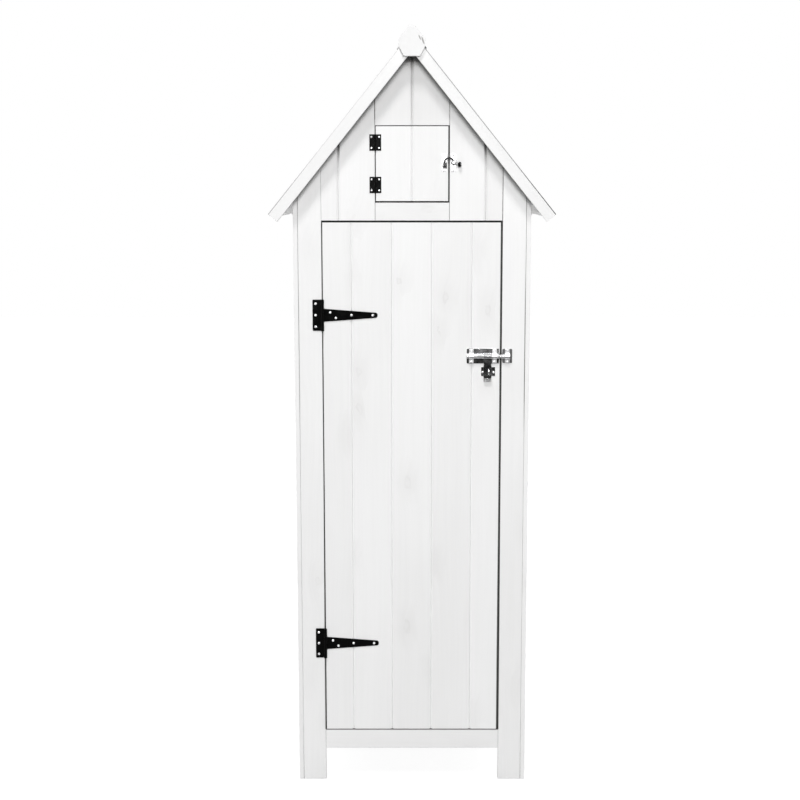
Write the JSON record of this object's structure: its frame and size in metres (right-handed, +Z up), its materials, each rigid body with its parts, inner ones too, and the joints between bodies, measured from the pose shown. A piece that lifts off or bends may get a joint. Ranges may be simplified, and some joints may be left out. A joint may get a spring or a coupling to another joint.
{
  "type": "garden storage cabinet",
  "caption": "Tall narrow outdoor storage cabinet of white matchboard with a steep felted gable roof, a ledged door on tee hinges with a pad bolt, and a small latched hatch to the loft.",
  "frame": {"origin": "on the ground, at the centre of the overall footprint", "axes": "+X to the right of someone facing the door, +Y towards the back of the cabinet, +Z up"},
  "size_m": [0.661, 0.531, 1.8],
  "materials": {
    "painted_wood": "satin white paint on softwood boards",
    "inner_wood": "thin white paint on sawn softwood",
    "roof_felt": "mineral bitumen felt, matt",
    "black_iron": "black powder coat",
    "zinc_plate": "bright zinc plate"
  },
  "bodies": {
    "cabinet": {"bolt_keeper": "zinc_plate", "door_head_batten": "inner_wood", "door_hinge_pins": "black_iron", "door_jamb_left": "inner_wood", "door_jamb_right": "inner_wood", "finial": "painted_wood", "floor_bearers": "inner_wood", "floor_boards": "inner_wood", "front_barge_left": "painted_wood", "front_barge_right": "painted_wood", "front_bottom_rail": "painted_wood", "front_posts": "inner_wood", "front_stile_left": "painted_wood", "front_stile_right": "painted_wood", "gable_boards": "painted_wood", "hatch_frame": "inner_wood", "hatch_hinge_fixed_leaves": "black_iron", "hatch_hinge_pins": "black_iron", "hatch_sill_rail": "painted_wood", "latch_plate": "zinc_plate", "loft_shelf": "inner_wood", "lower_hinge_leaf": "black_iron", "lower_shelf": "inner_wood", "middle_shelf": "inner_wood", "rafters": "inner_wood", "rear_barge_boards": "painted_wood", "rear_boards": "painted_wood", "rear_bottom_rail": "painted_wood", "rear_posts": "inner_wood", "rear_stile_left": "painted_wood", "rear_stile_right": "painted_wood", "roof_boards_left": "painted_wood", "roof_boards_right": "painted_wood", "roof_felt": "roof_felt", "shelf_bearers": "inner_wood", "side_boards_left": "painted_wood", "side_boards_right": "painted_wood", "side_bottom_rails": "painted_wood", "side_stiles_left": "painted_wood", "side_stiles_right": "painted_wood", "upper_hinge_leaf": "black_iron", "wall_plates": "inner_wood"},
    "door": {"door_boards": "painted_wood", "door_ledges": "inner_wood", "upper_hinge_strap": "black_iron", "lower_hinge_strap": "black_iron", "bolt_plate": "zinc_plate", "bolt_saddles": "zinc_plate", "bolt_staple": "zinc_plate"},
    "bolt": {"bolt_rod": "zinc_plate"},
    "hasp": {"hasp_tab": "zinc_plate"},
    "hatch": {"hatch_boards": "painted_wood", "hatch_ledges": "inner_wood", "hatch_hinge_moving_leaves": "black_iron", "latch_catch": "zinc_plate"},
    "latch": {"latch_lever": "zinc_plate"}
  },
  "joints": [
    {"name": "door_hinge", "type": "hinge", "parent": "cabinet", "child": "door", "pos_m": [-0.20965, -0.22465, 0.745], "axis": [0, 0, -1], "range_deg": [0, 170]},
    {"name": "bolt_slide", "type": "slide", "parent": "door", "child": "bolt", "axis": [-1, 0, 0], "range_m": [0, 0.022]},
    {"name": "hasp_turn", "type": "hinge", "parent": "bolt", "child": "hasp", "pos_m": [0.1776, -0.2285, 1.0485], "axis": [-1, 0, 0], "range_deg": [0, 150]},
    {"name": "hatch_hinge", "type": "hinge", "parent": "cabinet", "child": "hatch", "pos_m": [-0.0845, -0.22325, 1.494], "axis": [0, 0, -1], "range_deg": [0, 120]},
    {"name": "latch_turn", "type": "hinge", "parent": "cabinet", "child": "latch", "pos_m": [0.09575, -0.2247, 1.497], "axis": [0, 1, 0], "range_deg": [0, 90]}
  ],
  "couplings": [
    {"joint": "bolt_slide", "follows": "hasp_turn", "m_per_rad": 0.0084}
  ]
}
